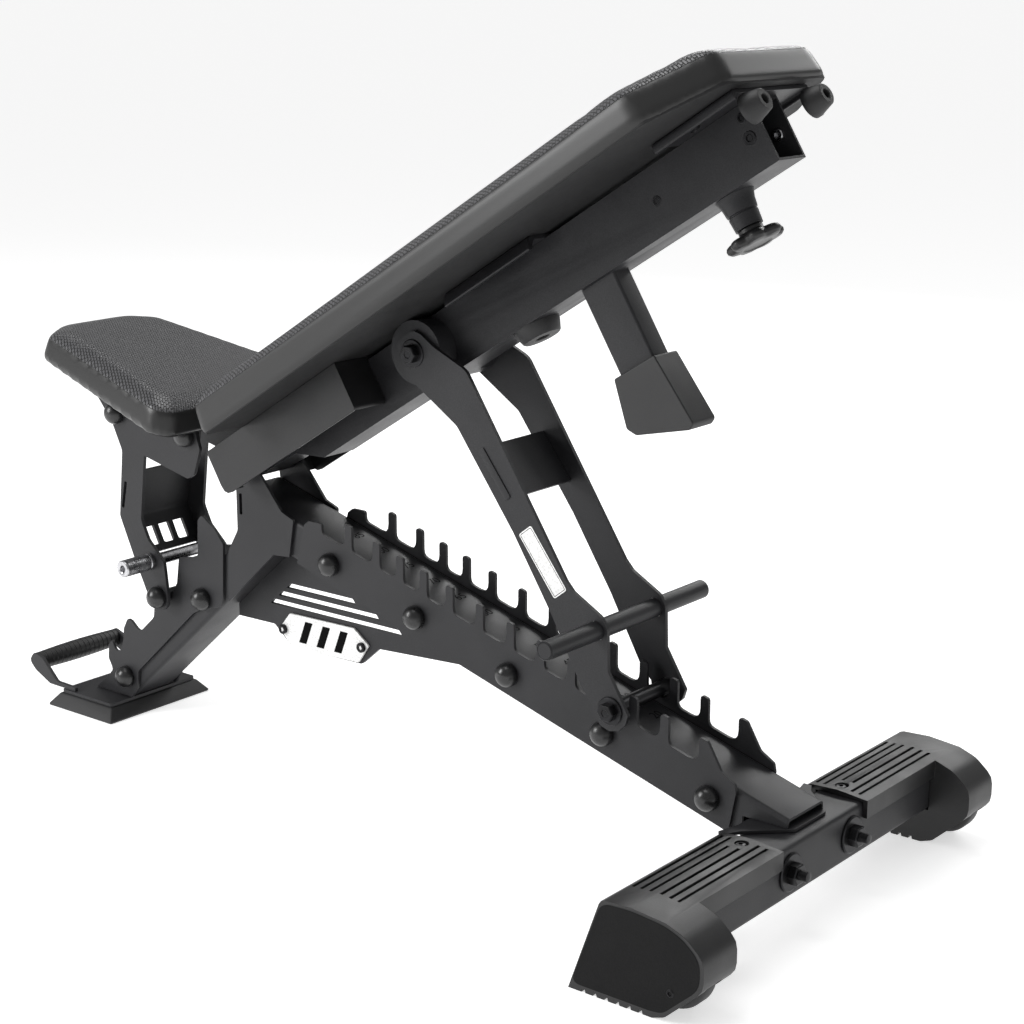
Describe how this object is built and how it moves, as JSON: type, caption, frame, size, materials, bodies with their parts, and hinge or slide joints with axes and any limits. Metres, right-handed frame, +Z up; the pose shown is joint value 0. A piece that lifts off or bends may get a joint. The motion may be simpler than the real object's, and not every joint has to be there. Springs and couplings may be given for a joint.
{
  "type": "adjustable weight bench",
  "caption": "Adjustable bench: tapered seat and long back pad on a sloping slotted beam, prop strut with lock rod, T-shaped wheeled rear base, front foot and carry handle.",
  "frame": {"origin": "on the floor, under the middle of the overall length and width", "axes": "+X towards the head end and the rear wheels, +Y across, +Z up"},
  "size_m": [1.2976, 0.61, 0.9302],
  "materials": {
    "powder_coat": "fine-texture matt black powder coat",
    "black_plastic": "matt moulded plastic",
    "black_rubber": "moulded rubber",
    "black_fasteners": "black-oxide steel, satin",
    "bright_steel": "knurled bright steel",
    "vinyl": "upholstery vinyl, woven-look emboss on top",
    "board": "black-stained plywood",
    "white_plate": "blank white plate"
  },
  "bodies": {
    "frame": {"backrest_axle": "black_fasteners", "beam_bolt_1": "black_fasteners", "beam_bolt_2": "black_fasteners", "beam_bolt_3": "black_fasteners", "beam_bolt_4": "black_fasteners", "beam_bolt_5": "black_fasteners", "beam_end_flange": "powder_coat", "crossbar_bolt_far": "black_fasteners", "crossbar_bolt_near": "black_fasteners", "far_shoe": "black_plastic", "far_wheel_axle": "bright_steel", "foot_plate": "powder_coat", "gusset_plate": "powder_coat", "handle_grip_back": "black_plastic", "handle_grip_front": "black_plastic", "hook_plate_far": "powder_coat", "hook_plate_near": "powder_coat", "ladder_plate_far": "powder_coat", "ladder_plate_near": "powder_coat", "leg_bolt_1": "black_fasteners", "leg_bolt_2": "black_fasteners", "leg_tube": "powder_coat", "main_beam": "powder_coat", "nameplate": "white_plate", "near_shoe": "black_plastic", "near_wheel_axle": "bright_steel", "neck_plate_far": "powder_coat", "neck_plate_near": "powder_coat", "rear_crossbar": "powder_coat", "rubber_foot": "black_rubber"},
    "backrest": {"backrest_tube": "powder_coat", "hinge_shroud": "black_plastic", "back_pad_board": "board", "back_pad": "vinyl", "head_bracket": "powder_coat", "mid_bracket": "powder_coat", "head_bumper_near": "black_rubber", "head_bumper_far": "black_rubber", "stop_boot": "black_rubber", "mid_bumper": "black_rubber", "pin_collar": "powder_coat", "strut_pivot_bolt": "black_fasteners"},
    "pull_pin_body": {"pull_pin": "black_plastic"},
    "strut": {"strut_plate_near": "powder_coat", "strut_plate_far": "powder_coat", "strut_cross_plate": "powder_coat", "strut_handlebar": "powder_coat", "lock_rod": "black_fasteners"},
    "seat": {"seat_plate_near": "powder_coat", "seat_plate_far": "powder_coat", "seat_cross_plate": "powder_coat", "seat_rod": "black_fasteners", "seat_handle": "bright_steel", "seat_bolt_1": "black_fasteners", "seat_bolt_2": "black_fasteners", "seat_bracket": "powder_coat", "seat_pad_board": "board", "seat_pad": "vinyl"},
    "near_wheel_body": {"near_wheel": "black_rubber"},
    "far_wheel_body": {"far_wheel": "black_rubber"}
  },
  "joints": [
    {"name": "backrest_hinge", "type": "hinge", "parent": "frame", "child": "backrest", "pos_m": [-0.23468, 0, 0.39], "axis": [0, -1, 0], "range_deg": [0, 40]},
    {"name": "strut_hinge", "type": "hinge", "parent": "backrest", "child": "strut", "pos_m": [0.06962, 0, 0.56797], "axis": [0, -1, 0], "range_deg": [-28, 0]},
    {"name": "seat_hinge", "type": "hinge", "parent": "frame", "child": "seat", "pos_m": [-0.38867, 0, 0.188], "axis": [0, -1, 0], "range_deg": [0, 12.2]},
    {"name": "near_wheel_spin", "type": "hinge", "parent": "frame", "child": "near_wheel_body", "pos_m": [0.60333, -0.2795, 0.048], "axis": [0, 1, 0], "continuous": true},
    {"name": "far_wheel_spin", "type": "hinge", "parent": "frame", "child": "far_wheel_body", "pos_m": [0.60333, 0.2795, 0.048], "axis": [0, 1, 0], "continuous": true},
    {"name": "pull_pin_slide", "type": "slide", "parent": "backrest", "child": "pull_pin_body", "axis": [0.527, 0, -0.8499], "range_m": [0, 0.012], "stiffness_N_per_m": 900, "springref_m": -0.006}
  ],
  "couplings": [
    {"joint": "strut_hinge", "follows": "backrest_hinge", "ratio": -0.7}
  ]
}
